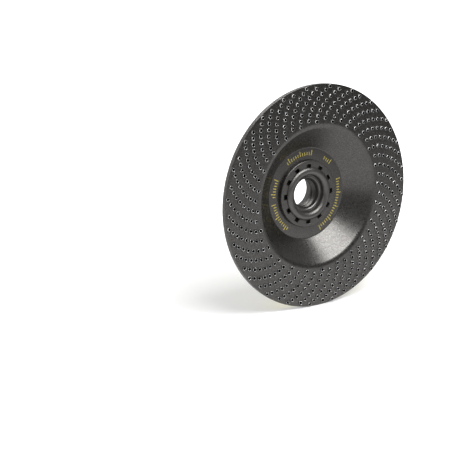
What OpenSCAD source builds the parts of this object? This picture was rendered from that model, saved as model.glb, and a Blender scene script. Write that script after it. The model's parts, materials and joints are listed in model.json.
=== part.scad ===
// Dished carving disc for an angle grinder: a steel sheet pierced with rows of
// torn spikes, a backing plate behind it, and a threaded hexagon hub whose
// rolled lip clamps both plates and a notched washer.
//
// Each piece is drawn with the disc on its back, spikes up along +Z and the
// dish floor at z = 0, and is then stood on its rim: the spikes face -Y, the
// hexagon faces +Y towards the grinder, and the spindle axis is Y.

/* [Disc] */
// Outer diameter of the disc
disc_d = 115; // [105:0.5:125]
// Radius of the flat dish floor
floor_r = 23.9; // [22:0.1:25]
// Radius where the cone would meet the flat spiked ring
shoulder_r = 36.2; // [35:0.1:38]
// Depth of the dish floor below the spiked ring
dish_depth = 10.6; // [8:0.1:12]
// Bend radius at the dish floor's edge, on the spiked side
floor_bend_r = 0.8; // [0.4:0.1:1.5]
// Bend radius at the shoulder, on the spiked side
shoulder_bend_r = 4.5; // [4:0.1:6]
// Thickness of the spiked sheet
rasp_t = 1; // [0.8:0.1:1.2]
// Thickness of the backing plate
backing_t = 2; // [1.4:0.1:2.2]
// Round on the back edge of the rim
rim_round_r = 0.8; // [0.3:0.1:1]
// Bevel on the other plate edges at the rim
rim_bevel = 0.15; // [0.05:0.05:0.3]

/* [Spikes] */
// Number of rows, an even number because every second row is staggered
row_count = 48; // [36:2:50]
// Spikes in each row
spikes_per_row = 8; // [5:1:8]
// Distance from the shoulder bend to the axis of the innermost spikes
spike_inner_gap = 0.9; // [0.8:0.1:3]
// Distance from the axis of the outermost spikes to the rim
spike_rim_gap = 1.25; // [1.25:0.05:3]
// Angle that a row trails back between the innermost and outermost spikes
row_sweep = 17; // [5:0.5:25]
// Angle of the first row
row_start = 4; // [0:0.5:7]
// Radius of a spike's foot
spike_foot_r = 1.05; // [0.9:0.05:1.15]
// Radius of a spike's torn edge
spike_tip_r = 0.72; // [0.65:0.01:0.8]
// Height of a spike
spike_h = 0.75; // [0.5:0.05:1]
// Radius of the hole pierced through a spike
pierce_r = 0.46; // [0.35:0.01:0.55]
// Angle that a spike leans back, which lifts its leading edge
spike_lean = 9; // [0:1:12]

/* [Hub] */
// Major diameter of the spindle thread
thread_d = 15.88; // [13:0.01:16.5]
// Length of the spindle thread
thread_l = 7.5; // [6:0.1:9.8]
// Height of the thread's mouth above the dish floor
mouth_h = 0.4; // [0.4:0.1:1.2]
// Depth of the countersink at the thread's mouth
mouth_bevel = 0.4; // [0.2:0.1:0.5]
// How far the countersink spreads beyond the thread
mouth_flare = 0.7; // [0.4:0.1:0.8]
// Diameter of the counterbore that clears the spindle's shoulder
counterbore_d = 17.4; // [17:0.1:18.4]
// Diameter of the spigot that passes through the plates and the washer
spigot_d = 24.8; // [23.5:0.1:25.5]
// Diameter over the rolled lip
lip_d = 27.6; // [27:0.1:29]
// Height of the lip above the washer
lip_h = 1.3; // [1:0.1:1.6]
// Round of the lip's outer flank
lip_round_r = 2.2; // [1.8:0.1:2.4]
// Round of the lip's inner flank, which ends in the groove's outer wall
lip_inner_round_r = 2.3; // [2.1:0.1:2.4]
// Width of the groove between the thread's mouth and the lip
groove_w = 0.8; // [0.5:0.1:0.8]
// Depth of the groove below the thread's mouth
groove_depth = 0.4; // [0.2:0.1:0.8]
// Diameter of the flange
flange_d = 49.7; // [47:0.1:52]
// Thickness of the flange
flange_t = 2.9; // [2:0.1:3.5]
// Round on the flange's edges
flange_round_r = 0.5; // [0.2:0.1:0.8]
// Hexagon across its flats
hex_af = 25; // [24:0.1:25.6]
// Height of the hexagon above the flange
hex_h = 4.9; // [4:0.1:7]
// Bevel along the hexagon's top edges
hex_bevel = 0.6; // [0.3:0.1:0.8]
// Hexagonal pedestal across its flats
pedestal_af = 27.2; // [26.4:0.1:28]
// Height of the pedestal's upright wall
pedestal_h = 0.6; // [0.4:0.1:1]
// Height of the slope from the pedestal in to the hexagon
flare_h = 0.7; // [0.4:0.1:1.2]
// Turn of the hexagon about the spindle axis
hex_turn = 47; // [0:1:59]
// Diameter of the collar that seats on the spindle's shoulder
collar_d = 22.4; // [21.5:0.1:22.8]
// Height of the collar above the hexagon
collar_h = 1; // [0.6:0.1:2]
// Inner radius of the sunk panels in the flange
panel_inner_r = 17.2; // [16.8:0.1:18.5]
// Width of the ring left outside the panels
panel_rim_w = 1.1; // [0.8:0.1:2]
// Depth of the panels
panel_depth = 0.5; // [0.2:0.1:0.8]
// Angle of the plain bridge between two panels
panel_bridge = 9; // [4:1:40]

/* [Washer] */
// Outer diameter of the washer
washer_d = 34.9; // [33.5:0.1:38]
// Thickness of the washer
washer_t = 1.8; // [1.2:0.1:2.4]
// Number of notches in the washer
notch_count = 12; // [6:1:14]
// Width of a notch
notch_w = 2.8; // [2:0.1:3.4]
// Radius that the notches reach out to
notch_r = 15.6; // [15:0.1:16]
// Bevel on the washer's outer edge
washer_bevel = 0.3; // [0.1:0.1:0.5]

/* [Labels] */
// Width of the bare metal outside the labels
label_margin = 1.8; // [1:0.1:4]
// Width of the bare metal between the shoulder bend and the labels
label_inner_gap = 2.3; // [0.5:0.1:8]
// Thickness of a label
label_t = 0.15; // [0.1:0.05:0.3]
// Angle at which the dark label ends on the inner side of the band
label_end = 246.5; // [200:0.5:280]
// Angle that the dark label covers
label_span = 93; // [60:1:150]
// Angle by which each end of the dark label slants across the band
label_slant = 4.9; // [0:0.1:8]

/* [Fit] */
// Clearance between the spigot and the holes that it passes through
fit_gap = 0.1; // [0.05:0.01:0.2]

/* [Hidden] */

ROUND = 180;
SMALL_ROUND = 24;
ARC_STEPS = 6;
// How far a cut runs past the face that it opens
PAST = 1;
// How deep a spike's foot is rooted in the sheet
ROOT = 0.35;
// Shortens a row's steps towards the rim
ROW_CLOSEUP = 0.25;
// Makes a row curve more the further out it goes
ROW_CURL = 1.45;

disc_r = disc_d / 2;
plates_t = rasp_t + backing_t;
rim_back_z = dish_depth - plates_t;

cone_angle = atan2(dish_depth, shoulder_r - floor_r);
bend_reach = tan(cone_angle / 2);
floor_bend_at = [floor_r - floor_bend_r * bend_reach, floor_bend_r];
shoulder_bend_at = [shoulder_r + shoulder_bend_r * bend_reach, dish_depth - shoulder_bend_r];

first_spike_r = shoulder_bend_at[0] + spike_inner_gap;
spike_reach = disc_r - spike_rim_gap - first_spike_r;

spigot_r = spigot_d / 2;
plate_hole_r = spigot_r + fit_gap;

flange_back_z = -plates_t - flange_t;
hex_top_z = flange_back_z - hex_h;
collar_top_z = hex_top_z - collar_h;
thread_top_z = mouth_h - mouth_bevel;
thread_end_z = thread_top_z - thread_l;

label_outer_r = disc_r - label_margin;
label_inner_r = shoulder_bend_at[0] + label_inner_gap;
label_w = label_outer_r - label_inner_r;

function polar(r, angle) = r * [cos(angle), sin(angle)];
function arc(centre, r, from, to) =
    [for (i = [0:ARC_STEPS]) centre + polar(r, from + (to - from) * i / ARC_STEPS)];
function reversed(points) = [for (i = [len(points) - 1:-1:0]) points[i]];

// The dish's face at a depth below its spiked side, from the hub hole up to the flat ring
function dish_face(depth) = concat(
    [[plate_hole_r, -depth]],
    arc(floor_bend_at, floor_bend_r + depth, -90, -90 + cone_angle),
    arc(shoulder_bend_at, shoulder_bend_r - depth, 90 + cone_angle, 90));

module stand_up() {
    rotate([90, 0, 0]) children();
}

module turned(profile) {
    rotate_extrude($fn = ROUND) polygon(profile);
}

// One plate of the dish between two depths, with its own edge at the rim
module dish_plate(front, back, rim_edge) {
    turned(concat(dish_face(front), rim_edge, reversed(dish_face(back))));
}

// A number from -1 to 1 that differs from spike to spike
function wobble(row, i, seed) = sin(137 * row + 71 * i + 57 * seed);

// Puts its children at every spike, with the spike's axis along Z and its face at z = 0
module at_spikes() {
    for (row = [0:row_count - 1], i = [0:spikes_per_row - 1]) {
        along = (i + (row % 2) / 2) / (spikes_per_row - 0.5);
        out = along * (1 + ROW_CLOSEUP * (1 - along));
        trail = row_sweep * pow(out, ROW_CURL);
        rotate(row_start + row * 360 / row_count - trail)
            translate([first_spike_r + out * spike_reach, 0, dish_depth])
                rotate([spike_lean, spike_lean / 2 * wobble(row, i, 1), 0])
                    children();
    }
}

module rasp_plate() {
    rim_edge = [
        [disc_r - rim_bevel, dish_depth],
        [disc_r, dish_depth - rim_bevel],
        [disc_r, dish_depth - rasp_t + rim_bevel],
        [disc_r - rim_bevel, dish_depth - rasp_t]];
    color([0.3, 0.3, 0.29]) stand_up() difference() {
        union() {
            dish_plate(0, rasp_t, rim_edge);
            at_spikes()
                translate([0, 0, -ROOT])
                    cylinder(h = spike_h + ROOT, r1 = spike_foot_r, r2 = spike_tip_r, $fn = SMALL_ROUND);
        }
        at_spikes()
            translate([0, 0, -rasp_t - PAST])
                cylinder(h = spike_h + rasp_t + 2 * PAST, r = pierce_r, $fn = SMALL_ROUND);
    }
}

module backing_plate() {
    rim_edge = concat(
        [[disc_r - rim_bevel, dish_depth - rasp_t], [disc_r, dish_depth - rasp_t - rim_bevel]],
        arc([disc_r - rim_round_r, rim_back_z + rim_round_r], rim_round_r, 0, -90));
    color([0.34, 0.34, 0.33]) stand_up() dish_plate(rasp_t, plates_t, rim_edge);
}

module lock_washer() {
    washer_r = washer_d / 2;
    color([0.42, 0.42, 0.41]) stand_up() difference() {
        turned([
            [plate_hole_r, 0],
            [washer_r, 0],
            [washer_r, washer_t - washer_bevel],
            [washer_r - washer_bevel, washer_t],
            [plate_hole_r, washer_t]]);
        for (i = [0:notch_count - 1])
            rotate(i * 360 / notch_count)
                translate([0, -notch_w / 2, -PAST])
                    cube([notch_r, notch_w, washer_t + 2 * PAST]);
    }
}

// The spigot with its rolled lip, the flange and the collar, turned without the bore
module hub_turning() {
    lip_r = lip_d / 2;
    lip_top_z = washer_t + lip_h;
    lip_undercut = 0.2;
    foot_angle = asin((lip_round_r - lip_h + lip_undercut) / lip_round_r);
    crest_r = lip_r - lip_round_r * cos(foot_angle);
    groove_r = crest_r - lip_inner_round_r;
    groove_z = mouth_h - groove_depth;
    flange_r = flange_d / 2;
    collar_r = collar_d / 2;
    collar_bevel = 0.25;
    turned(concat(
        [[0, mouth_h], [groove_r - groove_w, mouth_h], [groove_r - groove_w, groove_z], [groove_r, groove_z]],
        arc([crest_r, lip_top_z - lip_inner_round_r], lip_inner_round_r, 180, 90),
        arc([crest_r, lip_top_z - lip_round_r], lip_round_r, 90, foot_angle),
        [[lip_r - lip_undercut, washer_t], [spigot_r, washer_t], [spigot_r, -plates_t]],
        arc([flange_r - flange_round_r, -plates_t - flange_round_r], flange_round_r, 90, 0),
        arc([flange_r - flange_round_r, flange_back_z + flange_round_r], flange_round_r, 0, -90),
        [[collar_r, flange_back_z], [collar_r, collar_top_z + collar_bevel],
         [collar_r - collar_bevel, collar_top_z], [0, collar_top_z]]));
}

// One pair of the hexagon's flats, with the pedestal, the slope and the top bevel
module hex_flats(angle) {
    profile = [
        [pedestal_af / 2, flange_back_z + flange_t / 2],
        [pedestal_af / 2, flange_back_z - pedestal_h],
        [hex_af / 2, flange_back_z - pedestal_h - flare_h],
        [hex_af / 2, hex_top_z + hex_bevel],
        [hex_af / 2 - hex_bevel, hex_top_z]];
    other_side = [for (p = reversed(profile)) [-p[0], p[1]]];
    rotate([90, 0, angle])
        linear_extrude(2 * pedestal_af, center = true)
            polygon(concat(profile, other_side));
}

module hexagon() {
    rotate(hex_turn) intersection() {
        hex_flats(0);
        hex_flats(60);
        hex_flats(120);
    }
}

module bore() {
    counterbore_r = counterbore_d / 2;
    counterbore_bevel = 0.3;
    thread_r = thread_d / 2;
    turned([
        [0, collar_top_z - PAST],
        [counterbore_r + counterbore_bevel, collar_top_z - PAST],
        [counterbore_r + counterbore_bevel, collar_top_z],
        [counterbore_r, collar_top_z + counterbore_bevel],
        [counterbore_r, thread_end_z],
        [thread_r, thread_end_z],
        [thread_r, thread_top_z],
        [thread_r + mouth_flare, mouth_h],
        [thread_r + mouth_flare, mouth_h + PAST],
        [0, mouth_h + PAST]]);
}

// The sunk panels in the back of the flange
module flange_panels() {
    panel_outer_r = flange_d / 2 - panel_rim_w;
    wall_slope = 0.4;
    profile = [
        [panel_inner_r, flange_back_z - PAST],
        [panel_outer_r, flange_back_z - PAST],
        [panel_outer_r, flange_back_z],
        [panel_outer_r - wall_slope, flange_back_z + panel_depth],
        [panel_inner_r + wall_slope, flange_back_z + panel_depth],
        [panel_inner_r, flange_back_z]];
    for (side = [0, 180])
        rotate(hex_turn + 90 + side + panel_bridge / 2)
            rotate_extrude(angle = 180 - panel_bridge, $fn = ROUND)
                polygon(profile);
}

module hub() {
    color([0.36, 0.36, 0.35]) stand_up() difference() {
        union() {
            hub_turning();
            hexagon();
        }
        bore();
        flange_panels();
    }
}

// The sector of the label band that the dark label covers, wider than the band
module dark_sector() {
    start = label_end - label_span;
    slope = label_slant / label_w;
    inner = label_inner_r - PAST;
    outer = label_outer_r + PAST;
    inner_slip = slope * PAST;
    outer_slip = slope * (label_w + PAST);
    polygon([
        polar(inner, label_end + inner_slip),
        polar(outer, label_end - outer_slip),
        polar(2 * disc_r, label_end - label_span / 2),
        polar(outer, start + outer_slip),
        polar(inner, start - inner_slip)]);
}

module label_band() {
    difference() {
        circle(r = label_outer_r, $fn = ROUND);
        circle(r = label_inner_r, $fn = ROUND);
    }
}

module on_rim_back() {
    stand_up() translate([0, 0, rim_back_z - label_t]) linear_extrude(label_t) children();
}

module yellow_label() {
    color([0.96, 0.93, 0.05]) on_rim_back() difference() {
        label_band();
        dark_sector();
    }
}

module black_label() {
    color([0.1, 0.1, 0.1]) on_rim_back() intersection() {
        label_band();
        dark_sector();
    }
}

hub();
lock_washer();
rasp_plate();
backing_plate();
yellow_label();
black_label();
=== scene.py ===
"""The looks of a dished carving disc for an angle grinder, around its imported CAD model.

Lengths in this file are millimetres and angles are degrees, with the disc lying on its back:
its axis is Z, the spikes point up and the dish floor is at z = 0. stand() turns such points
into the row frame in metres, where the disc stands on its rim and faces -Y.
"""

import json
import math
import random

import bmesh
import bpy
import numpy as np
from mathutils import Matrix, Vector
from mathutils.geometry import delaunay_2d_cdt


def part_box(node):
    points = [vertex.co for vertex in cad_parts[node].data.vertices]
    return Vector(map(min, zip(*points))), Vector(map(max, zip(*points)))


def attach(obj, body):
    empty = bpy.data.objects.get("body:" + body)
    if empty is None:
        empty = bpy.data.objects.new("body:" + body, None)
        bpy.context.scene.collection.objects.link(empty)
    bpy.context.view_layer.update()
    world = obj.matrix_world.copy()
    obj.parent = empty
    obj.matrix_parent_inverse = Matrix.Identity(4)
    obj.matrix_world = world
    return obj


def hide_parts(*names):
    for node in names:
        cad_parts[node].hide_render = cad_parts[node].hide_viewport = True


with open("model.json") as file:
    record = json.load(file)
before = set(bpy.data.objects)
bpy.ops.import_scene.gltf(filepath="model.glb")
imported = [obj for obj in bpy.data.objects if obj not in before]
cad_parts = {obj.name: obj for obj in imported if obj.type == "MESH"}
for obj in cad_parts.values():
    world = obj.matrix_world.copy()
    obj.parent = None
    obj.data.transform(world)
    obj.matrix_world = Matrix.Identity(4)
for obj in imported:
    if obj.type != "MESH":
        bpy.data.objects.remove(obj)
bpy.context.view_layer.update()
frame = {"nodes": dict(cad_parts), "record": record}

MM = 0.001
FULL_TURN = 360

# ---------------------------------------------------------------- sizes from the frame

plate_lo, plate_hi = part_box("backing_plate")
sheet_lo, sheet_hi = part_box("rasp_plate")
hub_lo, hub_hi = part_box("hub")
washer_lo, washer_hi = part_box("lock_washer")
mounts = {m["name"]: m for m in frame["record"]["mounts"]}

DISC_R = plate_hi.x / MM
SHEET_T = sheet_hi.y / MM
RING_Z = -plate_lo.y / MM + SHEET_T
PLATES_T = plate_hi.y / MM
SPIKE_TOP_Z = -sheet_lo.y / MM
WASHER_R = washer_hi.x / MM
WASHER_T = -washer_lo.y / MM
LIP_TOP_Z = -hub_lo.y / MM
COLLAR_TOP_Z = -hub_hi.y / MM
FLANGE_R = hub_hi.x / MM
THREAD_R = mounts["spindle_thread"]["dims"]["r_mm"]
THREAD_L = mounts["spindle_thread"]["dims"]["length_mm"]

# ---------------------------------------------------------------- sizes shared with the CAD source

PLATE_HOLE_R = 12.5
SPIGOT_R = 12.4
FLOOR_R = 23.9
SHOULDER_R = 36.2
FLOOR_BEND_R = 0.8
SHOULDER_BEND_R = 4.5
RIM_BEVEL = 0.15
CONE_ANGLE = math.degrees(math.atan2(RING_Z, SHOULDER_R - FLOOR_R))
BEND_REACH = math.tan(math.radians(CONE_ANGLE / 2))
RING_INNER_R = SHOULDER_R + SHOULDER_BEND_R * BEND_REACH

ROW_COUNT = 48
SPIKES_PER_ROW = 8
FIRST_SPIKE_R = RING_INNER_R + 0.9
SPIKE_REACH = DISC_R - 1.25 - FIRST_SPIKE_R
ROW_SWEEP = 17
ROW_START = 4
ROW_CLOSEUP = 0.25
ROW_CURL = 1.45
SPIKE_LEAN = 9
PIERCE_R = 0.46

MOUTH_FLARE = 0.7
MOUTH_H = 0.4
GROOVE_INNER_R = 8.795
GROOVE_OUTER_R = 9.595
LIP_R = 13.8
LIP_ROUND_R = 2.2
LIP_INNER_ROUND_R = 2.3
LIP_FOOT_ANGLE = 30
LIP_UNDERCUT = 0.2

FLANGE_ROUND_R = 0.5
PEDESTAL_INRADIUS = 13.6
PEDESTAL_H = 0.6
FLARE_H = 0.7
HEX_INRADIUS = 12.5
HEX_BEVEL = 0.6
COLLAR_R = 11.2
COUNTERBORE_R = 8.7
HEX_TURN = 47
PANEL_BRIDGE = 9
PANEL_INNER_R = 17.2
PANEL_OUTER_R = FLANGE_R - 1.1
PANEL_DEPTH = 0.5
FLANGE_BACK_Z = -5.9
HEX_TOP_Z = -10.8

NOTCH_COUNT = 12
NOTCH_W = 2.8
NOTCH_R = 15.6
WASHER_BEVEL = 0.3


# ---------------------------------------------------------------- geometry helpers

def stand(points):
    """Points of the lying disc in millimetres, to the row frame in metres."""
    p = np.asarray(points, float) * MM
    return np.column_stack([p[:, 0], -p[:, 2], p[:, 1]])


def polar(r, angle):
    return r * math.cos(math.radians(angle)), r * math.sin(math.radians(angle))


def arc(centre, r, start, end, steps=8):
    """Points along an arc in the (r, z) half plane."""
    angles = np.radians(np.linspace(start, end, steps + 1))
    return [(centre[0] + r * math.cos(a), centre[1] + r * math.sin(a)) for a in angles]


def rounded(points, radius, steps=3):
    """The open outline with its inner corners rounded, by less than radius where a side is short."""
    out = [points[0]]
    for before, corner, after in zip(points, points[1:], points[2:]):
        a, b, c = (Vector(p) for p in (before, corner, after))
        u, v = (a - b), (c - b)
        turn = math.pi - u.angle(v)
        if turn < math.radians(8):
            out.append(corner)
            continue
        cut = min(radius * math.tan(turn / 2), 0.45 * u.length, 0.45 * v.length)
        start, end = b + u.normalized() * cut, b + v.normalized() * cut
        for i in range(steps + 1):
            t = i / steps
            out.append(tuple((1 - t) ** 2 * start + 2 * t * (1 - t) * b + t * t * end))
    out.append(points[-1])
    return out


def grid_faces(rows, columns, offset=0, close_rows=False):
    """Quads over a grid of points whose columns run round the axis and close on themselves."""
    faces = []
    for i in range(rows if close_rows else rows - 1):
        a, b = offset + i * columns, offset + (i + 1) % rows * columns
        for j in range(columns):
            k = (j + 1) % columns
            faces.append((a + j, a + k, b + k, b + j))
    return faces


def make_piece(name, points, faces, material, replaces=None, smooth=True):
    """A mesh piece of the lying disc's points that rides on the disc."""
    mesh = bpy.data.meshes.new(name)
    mesh.from_pydata(stand(points), [], faces)
    mesh.validate()
    mesh.polygons.foreach_set("use_smooth", [smooth] * len(mesh.polygons))
    mesh.materials.append(material)
    piece = bpy.data.objects.new(name, mesh)
    bpy.context.scene.collection.objects.link(piece)
    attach(piece, "root")
    if replaces:
        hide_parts(replaces)
    return piece


def face_outwards(piece):
    """Welds coincident points and turns every face to the outside."""
    bm = bmesh.new()
    bm.from_mesh(piece.data)
    bmesh.ops.remove_doubles(bm, verts=bm.verts, dist=2e-7)
    bmesh.ops.recalc_face_normals(bm, faces=bm.faces)
    bm.to_mesh(piece.data)
    bm.free()


def even_shading(piece):
    """Keeps flat faces flat-looking beside their small rounded edges."""
    weighted = piece.modifiers.new("even_shading", "WEIGHTED_NORMAL")
    weighted.mode = "FACE_AREA"
    weighted.keep_sharp = True


# ---------------------------------------------------------------- materials

class Shader:
    """One procedural material: node() adds a node, and a socket can be an input's value."""

    def __init__(self, name):
        self.material = bpy.data.materials.new(name)
        self.material.use_nodes = True
        self.tree = self.material.node_tree
        self.bsdf = self.tree.nodes["Principled BSDF"]
        coords = self.tree.nodes.new("ShaderNodeTexCoord")
        self.place = coords.outputs["Object"]

    def put(self, socket, value):
        if isinstance(value, bpy.types.NodeSocket):
            self.tree.links.new(value, socket)
        else:
            socket.default_value = value

    def node(self, kind, inputs, output=0, **settings):
        made = self.tree.nodes.new("ShaderNode" + kind)
        for key, value in settings.items():
            setattr(made, key, value)
        for key, value in inputs.items():
            self.put(made.inputs[key], value)
        return made.outputs[output]

    def math(self, operation, a, b=0.0):
        return self.node("Math", {0: a, 1: b}, operation=operation)

    def noise(self, size_mm, detail=2.0, place=None):
        """Soft noise from 0 to 1 with features of about that size."""
        return self.node("TexNoise", {"Vector": place or self.place, "Scale": 1 / (size_mm * MM),
                                      "Detail": detail})

    def remap(self, value, low, high, to_low, to_high):
        return self.node("MapRange", {0: value, 1: low, 2: high, 3: to_low, 4: to_high})

    def blend(self, share, a, b):
        """Colour a where share is 0 and colour b where it is 1."""
        return self.node("Mix", {"Factor": share, "A": a, "B": b}, output=2, data_type="RGBA")

    def bump(self, height, depth_mm, strength=1.0):
        return self.node("Bump", {"Height": height, "Distance": depth_mm * MM, "Strength": strength})

    def finish(self, **inputs):
        names = {"colour": "Base Color", "rough": "Roughness", "metal": "Metallic",
                 "normal": "Normal", "coat": "Coat Weight", "coat_rough": "Coat Roughness"}
        for key, value in inputs.items():
            self.put(self.bsdf.inputs[names[key]], value)
        return self.material


COAT_WARMTH = 0.03
COAT_METALLIC = 0.92
# Heights over which the crowns' flanks fade into a near-black painted shade.
PAINTED_SHADE_FROM_Z, PAINTED_SHADE_FULL_Z = RING_Z + 0.02, RING_Z + 0.1


def grey(value, warmth=0.0):
    """A neutral linear colour, a little warmer or cooler."""
    return (value * (1 + warmth), value, value * (1 - 1.5 * warmth), 1)


def powder_coat(name, dark, light, rough, grain_mm=0.4, grain_depth=0.009, tip_wear_and_highlight_from=None):
    """Satin metallic powder coat with a fine speckle.

    Where a height for the tips is given, the crowns above the spiked ring's face take a near-black painted
    shade, and above that height the colour turns to bright bare steel: partly wear of the torn tips, partly
    a painted highlight.
    """
    s = Shader(name)
    grain = s.noise(grain_mm, detail=3)
    cloud = s.noise(9, detail=3)
    speckle = s.remap(grain, 0.32, 0.68, 0, 1)
    colour = s.blend(speckle, grey(dark, COAT_WARMTH), grey(light, COAT_WARMTH))
    colour = s.blend(s.remap(cloud, 0.3, 0.7, 0, 0.35), colour, grey((dark + light) / 2 * 0.8, COAT_WARMTH))
    roughness = s.remap(s.noise(grain_mm * 2.5), 0.3, 0.7, rough - 0.05, rough + 0.06)
    if tip_wear_and_highlight_from is not None:
        height = s.math("MULTIPLY", s.node("SeparateXYZ", {0: s.place}, output=1), -1)
        # Bright bare steel at the torn tips: partly wear, partly a painted highlight that widens their
        # bright part.
        ragged = s.math("ADD", height, s.math("MULTIPLY", s.noise(0.5), 0.3 * MM))
        worn_and_highlight = s.remap(ragged, tip_wear_and_highlight_from * MM, (tip_wear_and_highlight_from + 0.3) * MM, 0, 1)
        # Painted shade: the crowns' flanks above the ring's face go near-black.
        painted_shade = s.remap(height, PAINTED_SHADE_FROM_Z * MM, PAINTED_SHADE_FULL_Z * MM, 0, 1)
        colour = s.blend(worn_and_highlight, s.blend(painted_shade, colour, grey(0.012)), grey(0.8))
        roughness = s.remap(worn_and_highlight, 0, 1, roughness, 0.24)
    return s.finish(colour=colour, rough=roughness, metal=COAT_METALLIC, normal=s.bump(grain, grain_depth))


graphite = powder_coat("graphite_coat", 0.075, 0.17, 0.3)
# The spiked sheet's coat, with the crowns' painted shade and their tips' wear and painted highlight.
spiked_face = powder_coat("spiked_face", 0.075, 0.17, 0.3, tip_wear_and_highlight_from=RING_Z + 0.42)
# Near-black painted shade for the crowns' inner walls and holes.
hole_painted_shade = powder_coat("hole_painted_shade", 0.006, 0.01, 0.5)
washer_coat = powder_coat("washer_coat", 0.08, 0.2, 0.42, grain_mm=0.45, grain_depth=0.045)
lip_steel = powder_coat("rolled_lip", 0.13, 0.2, 0.4, grain_mm=0.3, grain_depth=0.006)
thread_steel = powder_coat("thread_steel", 0.07, 0.11, 0.38, grain_mm=0.3, grain_depth=0.006)


def gold_marking():
    """Laser-marked gold, a little broken by the grain of the coat below."""
    s = Shader("gold_marking")
    wear = s.remap(s.noise(0.25, detail=3), 0.35, 0.6, 0, 1)
    colour = s.blend(wear, (0.34, 0.27, 0.05, 1), (0.74, 0.6, 0.13, 1))
    return s.finish(colour=colour, rough=s.remap(wear, 0, 1, 0.55, 0.42), metal=0.35)


def vinyl(name, colour, shade, rough):
    """Printed vinyl film with a faint mottle and the slight waviness of a stuck sheet."""
    s = Shader(name)
    mottle = s.remap(s.noise(0.35, detail=3), 0.3, 0.7, 0, 1)
    waves = s.noise(6, detail=1)
    return s.finish(colour=s.blend(mottle, shade, colour),
                    rough=s.remap(waves, 0.3, 0.7, rough - 0.04, rough + 0.05),
                    normal=s.bump(waves, 0.02), coat=0.3, coat_rough=0.12)


gold = gold_marking()
yellow_vinyl = vinyl("yellow_vinyl", (0.93, 0.84, 0.004, 1), (0.88, 0.79, 0.002, 1), 0.34)
black_vinyl = vinyl("black_vinyl", (0.013, 0.013, 0.014, 1), (0.009, 0.009, 0.01, 1), 0.26)


# ---------------------------------------------------------------- spiked sheet

SHEET_SEGMENTS = 480
CROWN_SEGMENTS = 30
CROWN_SKIRT_R = 1.24
CROWN_FOOT_R = 1.18
CROWN_TIP_R = 0.84
CROWN_WALL = 0.11
CROWN_RISE_STEPS = 6
CROWN_INNER_STEPS = 4
FLARE_POWER = 1.35
CROWN_LOW = 0.42
CROWN_HIGH = 0.8
CROWN_ROOM = SPIKE_TOP_Z - RING_Z - 0.02


def dish_face(depth):
    """The dish's face at a depth below its spiked side, from the hub hole to the flat ring."""
    floor_bend = (FLOOR_R - FLOOR_BEND_R * BEND_REACH, FLOOR_BEND_R)
    shoulder_bend = (RING_INNER_R, RING_Z - SHOULDER_BEND_R)
    return ([(PLATE_HOLE_R, -depth)]
            + arc(floor_bend, FLOOR_BEND_R + depth, -90, -90 + CONE_ANGLE)
            + arc(shoulder_bend, SHOULDER_BEND_R - depth, 90 + CONE_ANGLE, 90, steps=14))


def lathe(outline, segments=SHEET_SEGMENTS):
    """Points of an outline turned round the axis, one ring of points for each of its own."""
    angles = np.linspace(0, 2 * math.pi, segments, endpoint=False)
    return [(r * math.cos(a), r * math.sin(a), z) for r, z in outline for a in angles]


def wobble(row, i, seed):
    """A number from -1 to 1 that differs from spike to spike."""
    return math.sin(math.radians(137 * row + 71 * i + 57 * seed))


def spike_places():
    """(centre, turn, sideways lean) of every spike, as the CAD source places them."""
    places = []
    for row in range(ROW_COUNT):
        for i in range(SPIKES_PER_ROW):
            along = (i + (row % 2) / 2) / (SPIKES_PER_ROW - 0.5)
            out = along * (1 + ROW_CLOSEUP * (1 - along))
            turn = ROW_START + row * FULL_TURN / ROW_COUNT - ROW_SWEEP * out ** ROW_CURL
            centre = polar(FIRST_SPIKE_R + out * SPIKE_REACH, turn)
            places.append((centre, turn, SPIKE_LEAN / 2 * wobble(row, i, 1)))
    return places


def torn_edge(rng, angles):
    """Heights of a torn edge, from 0 in its rips to 1 at its points, round the given angles."""
    count = rng.choice((3, 4, 4, 5))
    start = rng.uniform(0, FULL_TURN)
    knots, levels = [], []
    for tooth in range(count):
        at = start + (tooth + rng.uniform(-0.18, 0.18)) * FULL_TURN / count
        knots += [at, at + FULL_TURN / count * rng.uniform(0.4, 0.6)]
        levels += [rng.uniform(0.72, 1), rng.uniform(0, 0.42)]
    return np.interp(angles, knots, levels, period=FULL_TURN)


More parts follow.
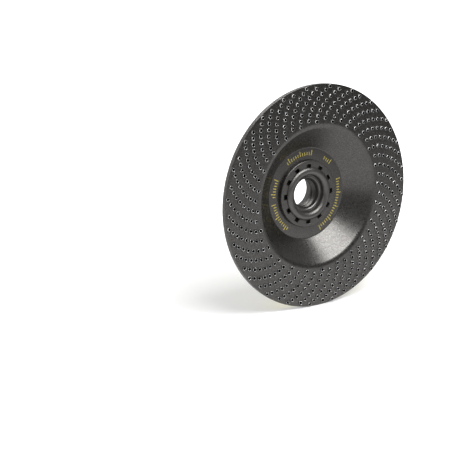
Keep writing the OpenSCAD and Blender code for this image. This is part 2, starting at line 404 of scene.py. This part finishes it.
def crown(rng, centre, turn, side_lean):
    """Rings of points of one torn spike, from the flat sheet over its edge and down the hole."""
    angles = np.linspace(0, FULL_TURN, CROWN_SEGMENTS, endpoint=False)
    c, s = np.cos(np.radians(angles)), np.sin(np.radians(angles))
    torn = torn_edge(rng, angles)
    scale = rng.uniform(0.86, 1)
    height = (CROWN_LOW + (CROWN_HIGH - CROWN_LOW) * torn) * scale
    tip = CROWN_TIP_R + 0.07 * torn + np.array([rng.uniform(-0.025, 0.025) for _ in angles])
    rings = [(np.full_like(c, r), np.zeros_like(c)) for r in (CROWN_SKIRT_R, CROWN_FOOT_R)]
    for step in range(1, CROWN_RISE_STEPS + 1):
        t = step / CROWN_RISE_STEPS
        rings.append((CROWN_FOOT_R + (tip - CROWN_FOOT_R) * t, height * t ** FLARE_POWER))
    rings.append((tip - CROWN_WALL / 2, height * 1.03))
    rings.append((tip - CROWN_WALL, height * 0.97))
    for t in (0.35, 0.7):
        rings.append(((tip - CROWN_WALL) * (1 - t) + PIERCE_R * t, height * (0.97 - t)))
    rings.append((np.full_like(c, PIERCE_R), np.full_like(c, -0.25)))
    rings.append((np.full_like(c, PIERCE_R), np.full_like(c, -SHEET_T)))
    points = []
    forward, sideways = math.radians(SPIKE_LEAN), math.radians(side_lean)
    cos_t, sin_t = math.cos(math.radians(turn)), math.sin(math.radians(turn))
    for r, z in rings:
        x, y = r * c, r * s
        rise = np.clip(z, 0, None) / CROWN_HIGH
        z = z + rise * (y * math.sin(forward) - x * math.sin(sideways))
        z = np.minimum(z, CROWN_ROOM)
        y = y - math.tan(forward) * np.clip(z, 0, None)
        x = x + math.tan(sideways) * np.clip(z, 0, None)
        points.append(np.column_stack([centre[0] + x * cos_t - y * sin_t,
                                       centre[1] + x * sin_t + y * cos_t, RING_Z + z]))
    return points


def pierced_ring(rims, holes, z):
    """Triangles of a flat ring between two rims, left open in each hole. Points and faces."""
    loops = rims + holes
    flat = np.vstack([np.asarray(loop)[:, :2] for loop in loops])
    edges, start = [], 0
    for loop in loops:
        n = len(loop)
        edges += [(start + i, start + (i + 1) % n) for i in range(n)]
        start += n
    verts, _, tris, _, _, _ = delaunay_2d_cdt([Vector(p) for p in flat], edges, [], 1, 1e-7)
    verts, tris = np.array(verts), np.array(tris)
    middle = verts[tris].mean(axis=1)
    reach = np.hypot(*middle.T)
    inner, outer = (np.hypot(*np.asarray(loop)[0, :2]) for loop in rims)
    keep = (reach > inner * 0.9999) & (reach < outer)
    for hole in holes:
        centre = np.asarray(hole)[:, :2].mean(axis=0)
        radius = np.hypot(*(np.asarray(hole)[:, :2] - centre).T).min()
        keep &= np.hypot(*(middle - centre).T) > radius * 0.97
    return [(x, y, z) for x, y in verts], [tuple(t) for t in tris[keep].tolist()]


def spiked_sheet():
    """The whole rasp sheet as one closed skin: dish, pierced ring, torn crowns, rim and back."""
    rng = random.Random(11)
    crowns = [crown(rng, *place) for place in spike_places()]
    points, faces, slots = [], [], []

    def add(new_points, new_faces, dark=0):
        """Adds faces, of which the last dark ones take the near-black material painted as shade in the
        holes.
        """
        faces.extend(tuple(len(points) + i for i in f) for f in new_faces)
        points.extend(tuple(p) for p in new_points)
        slots.extend([0] * (len(new_faces) - dark) + [1] * dark)

    bevelled_r = DISC_R - RIM_BEVEL
    front, back = dish_face(0), dish_face(SHEET_T)
    edge = rounded([(bevelled_r, RING_Z), (DISC_R, RING_Z - RIM_BEVEL),
                    (DISC_R, RING_Z - SHEET_T + RIM_BEVEL), (bevelled_r, RING_Z - SHEET_T)], 0.08)
    for outline in (back[::-1] + front, edge):
        add(lathe(outline), grid_faces(len(outline), SHEET_SEGMENTS))
    for z, ring_no in ((RING_Z, 0), (RING_Z - SHEET_T, -1)):
        rims = [np.array(lathe([(r, z)])) for r in (RING_INNER_R, bevelled_r)]
        add(*pierced_ring(rims, [c[ring_no] for c in crowns], z))
    for rings in crowns:
        # Each crown's inner steps take the holes' near-black painted shade.
        add(np.vstack(rings), grid_faces(len(rings), CROWN_SEGMENTS),
            dark=CROWN_INNER_STEPS * CROWN_SEGMENTS)
    sheet = make_piece("spiked_sheet", points, faces, spiked_face, replaces="rasp_plate")
    sheet.data.materials.append(hole_painted_shade)
    sheet.data.polygons.foreach_set("material_index", slots)
    face_outwards(sheet)
    even_shading(sheet)
    return sheet


spiked_sheet()


# ---------------------------------------------------------------- hub

THREAD_PITCH = 25.4 / 11
THREAD_DEPTH = 1.05
THREAD_ROWS = 96
THREAD_TOP_Z = 0.0
LEAD_IN_SLOPE = 0.37
PANEL_WALL = 0.45
THREAD_END_Z = THREAD_TOP_Z - THREAD_L
HEX_CORNER_R = 0.7
HUB_EDGE_R = 0.14


def hex_reach(angle, inradius):
    """Distance from the axis to a rounded hexagon's side, in the direction of angle."""
    off_flat = abs((angle - HEX_TURN + 30) % 60 - 30)
    corner_at = (inradius - HEX_CORNER_R) / math.cos(math.radians(30))
    if inradius * math.tan(math.radians(off_flat)) <= corner_at * math.sin(math.radians(30)):
        return inradius / math.cos(math.radians(off_flat))
    off_corner = math.radians(30 - off_flat)
    across = corner_at * math.sin(off_corner)
    return corner_at * math.cos(off_corner) + math.sqrt(HEX_CORNER_R ** 2 - across ** 2)


def thread_radius(z, angle):
    """Radius of the threaded wall: a ridge with flat crests that winds up the bore to its lead-in."""
    phase = ((z - THREAD_TOP_Z) / THREAD_PITCH + angle / FULL_TURN) % 1
    ridge = 1 - abs(2 * phase - 1)
    ridge = min(max((ridge - 0.12) / 0.68, 0), 1)
    run_out = min(1, (THREAD_TOP_Z - z) / 0.5, (z - THREAD_END_Z) / 0.5)
    lead_in = THREAD_R + LEAD_IN_SLOPE * (z - THREAD_TOP_Z)
    return max(THREAD_R - THREAD_DEPTH * ridge * max(run_out, 0), lead_in)


def smooth_step(value, low, high):
    t = min(max((value - low) / (high - low), 0), 1)
    return t * t * (3 - 2 * t)


def panel_share(r, angle):
    """How far the flange's back is sunk at a point, from 0 on the plain metal to 1 in a panel."""
    across = (smooth_step(r, PANEL_INNER_R, PANEL_INNER_R + PANEL_WALL)
              * smooth_step(-r, -PANEL_OUTER_R, PANEL_WALL - PANEL_OUTER_R))
    off_bridge = abs((angle - HEX_TURN - 90 + 90) % 180 - 90)
    wall_angle = math.degrees(PANEL_WALL / PANEL_INNER_R)
    return across * smooth_step(off_bridge, PANEL_BRIDGE / 2, PANEL_BRIDGE / 2 + wall_angle)


def hub_angles():
    """Directions of the hub's columns, closer at the hexagon's corners and the panels' ends."""
    angles = set(np.arange(0, FULL_TURN, 1.25).tolist())
    for corner in range(6):
        angles |= {HEX_TURN + 30 + corner * 60 + step * 0.3 for step in range(-14, 15)}
    for side in (0, 180):
        for end in (-1, 1):
            bridge_end = HEX_TURN + 90 + side + end * PANEL_BRIDGE / 2
            angles |= {bridge_end + end * step * 0.25 for step in range(-1, 9)}
    ordered = sorted(a % FULL_TURN for a in angles)
    return [a for a, b in zip(ordered, ordered[1:] + [FULL_TURN + ordered[0]]) if b - a > 0.05]


def hub_front():
    """Outline from the thread's mouth over the rolled lip and down to the flange's back edge."""
    mouth_r, mouth_z = THREAD_R + MOUTH_FLARE, THREAD_TOP_Z + MOUTH_H
    crest_r = GROOVE_OUTER_R + LIP_INNER_ROUND_R
    inner_arc_z, outer_arc_z = LIP_TOP_Z - LIP_INNER_ROUND_R, LIP_TOP_Z - LIP_ROUND_R
    mouth = rounded([(THREAD_R, THREAD_TOP_Z), (mouth_r, mouth_z), (GROOVE_INNER_R, mouth_z),
                     (GROOVE_INNER_R, THREAD_TOP_Z), (GROOVE_OUTER_R, THREAD_TOP_Z),
                     (GROOVE_OUTER_R, inner_arc_z)], 0.1)
    lip = (arc((crest_r, inner_arc_z), LIP_INNER_ROUND_R, 180, 90, 14)[1:]
           + arc((crest_r, outer_arc_z), LIP_ROUND_R, 90, LIP_FOOT_ANGLE, 12)[1:])
    waist = [(LIP_R - LIP_UNDERCUT, WASHER_T), (SPIGOT_R, WASHER_T), (SPIGOT_R, -PLATES_T)]
    edge_r = FLANGE_R - FLANGE_ROUND_R
    front_edge = arc((edge_r, -PLATES_T - FLANGE_ROUND_R), FLANGE_ROUND_R, 90, 0, 5)
    back_edge = arc((edge_r, FLANGE_BACK_Z + FLANGE_ROUND_R), FLANGE_ROUND_R, 0, -90, 5)
    return mouth + lip + waist + front_edge + back_edge


def hub_piece():
    """The whole hub as one closed skin, drawn as a column of points in each direction."""
    angles = hub_angles()
    front = hub_front()
    flange_radii = [24.2, *np.linspace(PANEL_OUTER_R, PANEL_OUTER_R - PANEL_WALL, 7),
                    *np.linspace(23, 18, 6),
                    *np.linspace(PANEL_INNER_R + PANEL_WALL, PANEL_INNER_R, 7), 16.6]
    pedestal_top_z = FLANGE_BACK_Z - PEDESTAL_H
    hexagon = rounded([(PEDESTAL_INRADIUS + 0.35, FLANGE_BACK_Z), (PEDESTAL_INRADIUS, FLANGE_BACK_Z),
                       (PEDESTAL_INRADIUS, pedestal_top_z), (HEX_INRADIUS, pedestal_top_z - FLARE_H),
                       (HEX_INRADIUS, HEX_TOP_Z + HEX_BEVEL), (HEX_INRADIUS - HEX_BEVEL, HEX_TOP_Z),
                       (COLLAR_R + 0.15, HEX_TOP_Z)], HUB_EDGE_R)
    collar = rounded([(COLLAR_R + 0.08, HEX_TOP_Z), (COLLAR_R, HEX_TOP_Z), (COLLAR_R, COLLAR_TOP_Z + 0.2),
                      (COLLAR_R - 0.2, COLLAR_TOP_Z), (COUNTERBORE_R + 0.3, COLLAR_TOP_Z),
                      (COUNTERBORE_R, COLLAR_TOP_Z + 0.3), (COUNTERBORE_R, THREAD_END_Z),
                      (THREAD_R, THREAD_END_Z)], 0.1)
    thread_z = np.linspace(THREAD_END_Z, THREAD_TOP_Z, THREAD_ROWS)[1:-1]
    columns = []
    for angle in angles:
        column = list(front)
        column += [(r, FLANGE_BACK_Z + PANEL_DEPTH * panel_share(r, angle)) for r in flange_radii]
        column += [(hex_reach(angle, a), z) for a, z in hexagon]
        column += collar
        column += [(thread_radius(z, angle), z) for z in thread_z]
        columns.append([(*polar(r, angle), z) for r, z in column])
    rows = list(zip(*columns))
    points = [p for row in rows for p in row]
    faces = grid_faces(len(rows), len(angles), close_rows=True)
    hub = make_piece("hub_body", points, faces, graphite, replaces="hub")
    face_outwards(hub)
    for material in (lip_steel, thread_steel):
        hub.data.materials.append(material)
    for face in hub.data.polygons:
        r, z = math.hypot(face.center.x, face.center.z) / MM, -face.center.y / MM
        if r < COUNTERBORE_R and z < THREAD_TOP_Z + 0.1:
            face.material_index = 2
        elif z > -PLATES_T / 2 and r < LIP_R + 0.3:
            face.material_index = 1
    even_shading(hub)
    return hub


hub_piece()


# ---------------------------------------------------------------- washer

def notch_reach(angle):
    """Inner radius of the washer in the direction of angle: its plain hole, or a notch."""
    off = math.radians(abs((angle + 15) % 30 - 15))
    half = NOTCH_W / 2
    corner = 0.35
    side = half / max(math.sin(off), 1e-6)
    end = NOTCH_R / math.cos(off)
    across = end * math.sin(off)
    if across > half - corner:
        end -= corner - math.sqrt(max(corner ** 2 - (across - half + corner) ** 2, 0))
    return max(PLATE_HOLE_R, min(side, end))


def washer_piece():
    """The notched washer, one column of points in each direction."""
    angles = set(np.arange(0, FULL_TURN, 1.5).tolist())
    for notch in range(NOTCH_COUNT):
        for end in (-1, 1):
            angles |= {(notch * 30 + end * (5.5 + step * 0.25)) % FULL_TURN for step in range(-3, 6)}
    angles = sorted(angles)
    outer = rounded([(WASHER_R - 2, 0), (WASHER_R, 0), (WASHER_R, WASHER_T - WASHER_BEVEL),
                     (WASHER_R - WASHER_BEVEL, WASHER_T), (WASHER_R - 3 * WASHER_BEVEL, WASHER_T)], 0.18)
    columns = []
    for angle in angles:
        inner = notch_reach(angle)
        edge = rounded([(inner + 0.6, WASHER_T), (inner, WASHER_T), (inner, 0), (inner + 0.1, 0)], 0.2)
        columns.append([(*polar(r, angle), z) for r, z in outer + edge])
    rows = list(zip(*columns))
    points = [p for row in rows for p in row]
    washer = make_piece("notched_washer", points, grid_faces(len(rows), len(angles), close_rows=True),
                        washer_coat, replaces="lock_washer")
    face_outwards(washer)
    even_shading(washer)
    return washer


washer_piece()


# ---------------------------------------------------------------- marks

def bar(r_in, r_out, angle, width, z_low, z_high):
    """Eight corners and six faces of a small bar that lies along a radius."""
    half = width / 2
    points = []
    for z in (z_low, z_high):
        for r, side in ((r_in, -half), (r_out, -half), (r_out, half), (r_in, half)):
            x, y = polar(r, angle)
            tx, ty = polar(side, angle + 90)
            points.append((x + tx, y + ty, z))
    faces = [(3, 2, 1, 0), (4, 5, 6, 7), (0, 1, 5, 4), (1, 2, 6, 5), (2, 3, 7, 6), (3, 0, 4, 7)]
    return points, faces


def bars_piece(name, bars, material):
    """One piece of many separate bars."""
    points, faces = [], []
    for bar_points, bar_faces in bars:
        faces += [tuple(len(points) + i for i in f) for f in bar_faces]
        points += bar_points
    return make_piece(name, points, faces, material, smooth=False)


def scale_marks():
    """Gold graduations on the dish floor, in groups, with a longer mark every fifth."""
    groups = ((82, 128), (45, 60), (-65, 18), (155, 180), (190, 235))
    pitch, width, inner = 4, 0.45, 19.9
    bars = []
    for start, end in groups:
        for i in range(int((end - start) / pitch) + 1):
            length = 2.8 if i % 5 == 0 else 1.7
            bars.append(bar(inner, inner + length, start + i * pitch, width, -0.05, 0.02))
    return bars_piece("scale_marks", bars, gold)


def flange_marks():
    """Raised cast graduations in the flange's two panels."""
    pitch, width, inner = 4.5, 0.7, 19.2
    bottom = FLANGE_BACK_Z + PANEL_DEPTH
    bars = []
    for side in (0, 180):
        first = HEX_TURN + 90 + side + PANEL_BRIDGE / 2 + 7
        for i in range(36):
            if i % 12 in (10, 11):
                continue
            length = 2.6 if i % 4 == 0 else 1.7
            bars.append(bar(inner, inner + length, first + i * pitch, width, bottom - 0.34, bottom + 0.05))
    return bars_piece("flange_marks", bars, graphite)


scale_marks()
flange_marks()


# ---------------------------------------------------------------- CAD nodes that are shown as they are

SHOWN = {"backing_plate": graphite, "yellow_label": yellow_vinyl, "black_label": black_vinyl}
for node, material in SHOWN.items():
    shown = frame["nodes"][node]
    shown.data.materials.clear()
    shown.data.materials.append(material)

# ---------------------------------------------------------------- floor, light and camera

FLOOR_Z = -DISC_R * MM
FLOOR_HALF_SIZE = 30
SHADOW_FROM, SHADOW_TO = 0.1, 0.3
SHADOW_LIFT = 0.12
MIRROR_FROM, MIRROR_TO = 0.3, 0.46
MIRROR_NEAR, MIRROR_FAR, MIRROR_BEHIND = 0.86, 0.1, 0.95
MIRROR_BEHIND_FROM = 0.2


def floor():
    """A wide pale floor. The camera sees it white, with the disc's soft shadow close by.

    In the disc's coat it is mirrored pale close by and behind the disc, and dark far in front.
    """
    half = FLOOR_HALF_SIZE
    mesh = bpy.data.meshes.new("floor")
    corners = ((-half, -half), (half, -half), (half, half), (-half, half))
    mesh.from_pydata([(x, y, FLOOR_Z) for x, y in corners], [], [(0, 1, 2, 3)])
    s = Shader("floor_white")
    s.put(s.bsdf.inputs["Base Color"], (0.93, 0.93, 0.93, 1))
    s.put(s.bsdf.inputs["Roughness"], 0.9)
    s.put(s.bsdf.inputs["Specular IOR Level"], 0.1)
    paint = s.bsdf.outputs[0]

    def glow(strength):
        return s.node("Emission", {"Color": (1, 1, 1, 1), "Strength": strength})

    rays = s.tree.nodes.new("ShaderNodeLightPath").outputs
    distance = s.node("VectorMath", {0: s.place}, output=1, operation="LENGTH")
    y = s.node("SeparateXYZ", {0: s.place}, output=1)
    lift = s.remap(distance, SHADOW_FROM, SHADOW_TO, SHADOW_LIFT, 1)
    in_front = s.remap(distance, MIRROR_FROM, MIRROR_TO, MIRROR_NEAR, MIRROR_FAR)
    at_back = s.remap(y, 0, MIRROR_BEHIND_FROM, MIRROR_FAR, MIRROR_BEHIND)
    mirrored = glow(s.math("MAXIMUM", in_front, at_back))
    lifted = s.node("AddShader", {0: paint, 1: glow(lift)})
    shown = s.node("MixShader", {0: rays["Is Camera Ray"], 1: paint, 2: lifted})
    mixed = s.node("MixShader", {0: rays["Is Glossy Ray"], 1: shown, 2: mirrored})
    s.tree.links.new(mixed, s.tree.nodes["Material Output"].inputs["Surface"])
    mesh.materials.append(s.material)
    made = bpy.data.objects.new("floor", mesh)
    bpy.context.scene.collection.objects.link(made)


def area_light(name, place, target, size, watts):
    """A soft square lamp that points at a target. Lengths in metres."""
    data = bpy.data.lights.new(name, "AREA")
    data.shape = "RECTANGLE"
    data.size, data.size_y = size
    data.energy = watts
    lamp = bpy.data.objects.new(name, data)
    lamp.location = place
    lamp.rotation_euler = (Vector(target) - Vector(place)).to_track_quat("-Z", "Y").to_euler()
    bpy.context.scene.collection.objects.link(lamp)


AMBIENT_FRONT, AMBIENT_BEHIND = 0.32, 0.95
SURROUND_FRONT, SURROUND_BEHIND = 0.1, 1.0
BEHIND_FROM_Y, BEHIND_TO_Y = -0.3, 0.4


def world_light():
    """A white surround where it is seen, and dimmer, darkest in front, where it lights the disc."""
    world = bpy.data.worlds.new("surround")
    world.use_nodes = True
    bpy.context.scene.world = world
    nodes, links = world.node_tree.nodes, world.node_tree.links
    nodes.clear()

    def background(strength):
        made = nodes.new("ShaderNodeBackground")
        made.inputs["Color"].default_value = (1, 1, 1, 1)
        made.inputs["Strength"].default_value = strength
        return made.outputs[0]

    def mix(share, a, b):
        made = nodes.new("ShaderNodeMixShader")
        for socket, value in zip(made.inputs, (share, a, b)):
            links.new(value, socket)
        return made.outputs[0]

    rays = nodes.new("ShaderNodeLightPath").outputs
    seen = nodes.new("ShaderNodeMath")
    seen.operation = "MAXIMUM"
    links.new(rays["Is Camera Ray"], seen.inputs[0])
    links.new(rays["Is Transmission Ray"], seen.inputs[1])
    direction = nodes.new("ShaderNodeSeparateXYZ")
    links.new(nodes.new("ShaderNodeTexCoord").outputs["Generated"], direction.inputs[0])
    behind = nodes.new("ShaderNodeMapRange")
    behind.inputs["From Min"].default_value = BEHIND_FROM_Y
    behind.inputs["From Max"].default_value = BEHIND_TO_Y
    links.new(direction.outputs["Y"], behind.inputs["Value"])
    mirrored = mix(behind.outputs[0], background(SURROUND_FRONT), background(SURROUND_BEHIND))
    ambient = mix(behind.outputs[0], background(AMBIENT_FRONT), background(AMBIENT_BEHIND))
    lighting = mix(rays["Is Glossy Ray"], ambient, mirrored)
    surround = mix(seen.outputs[0], lighting, background(1.0))
    out = nodes.new("ShaderNodeOutputWorld")
    links.new(surround, out.inputs["Surface"])


def camera():
    """Looks down at the disc from the front left, with the disc to the right of the frame's middle."""
    data = bpy.data.cameras.new("camera")
    data.sensor_width = 36
    data.lens = 89.3
    made = bpy.data.objects.new("camera", data)
    right = Vector((0.8310, -0.5564, -0.0038)).normalized()
    back = right.cross(Vector((0.1360, 0.1965, 0.9710))).normalized()
    turn = Matrix((right, back.cross(right), back)).transposed().to_4x4()
    made.matrix_world = Matrix.Translation((-0.3520, -0.4547, 0.1224)) @ turn
    bpy.context.scene.collection.objects.link(made)
    bpy.context.scene.camera = made


floor()
world_light()
area_light("key", (0.05, -0.456, 0.656), (0, 0, 0), (0.7, 0.45), 6.4)
area_light("fill", (-0.9, -0.3, 0.5), (0, 0, 0), (0.6, 0.6), 1.5)
camera()
bpy.context.scene.view_settings.view_transform = "Standard"
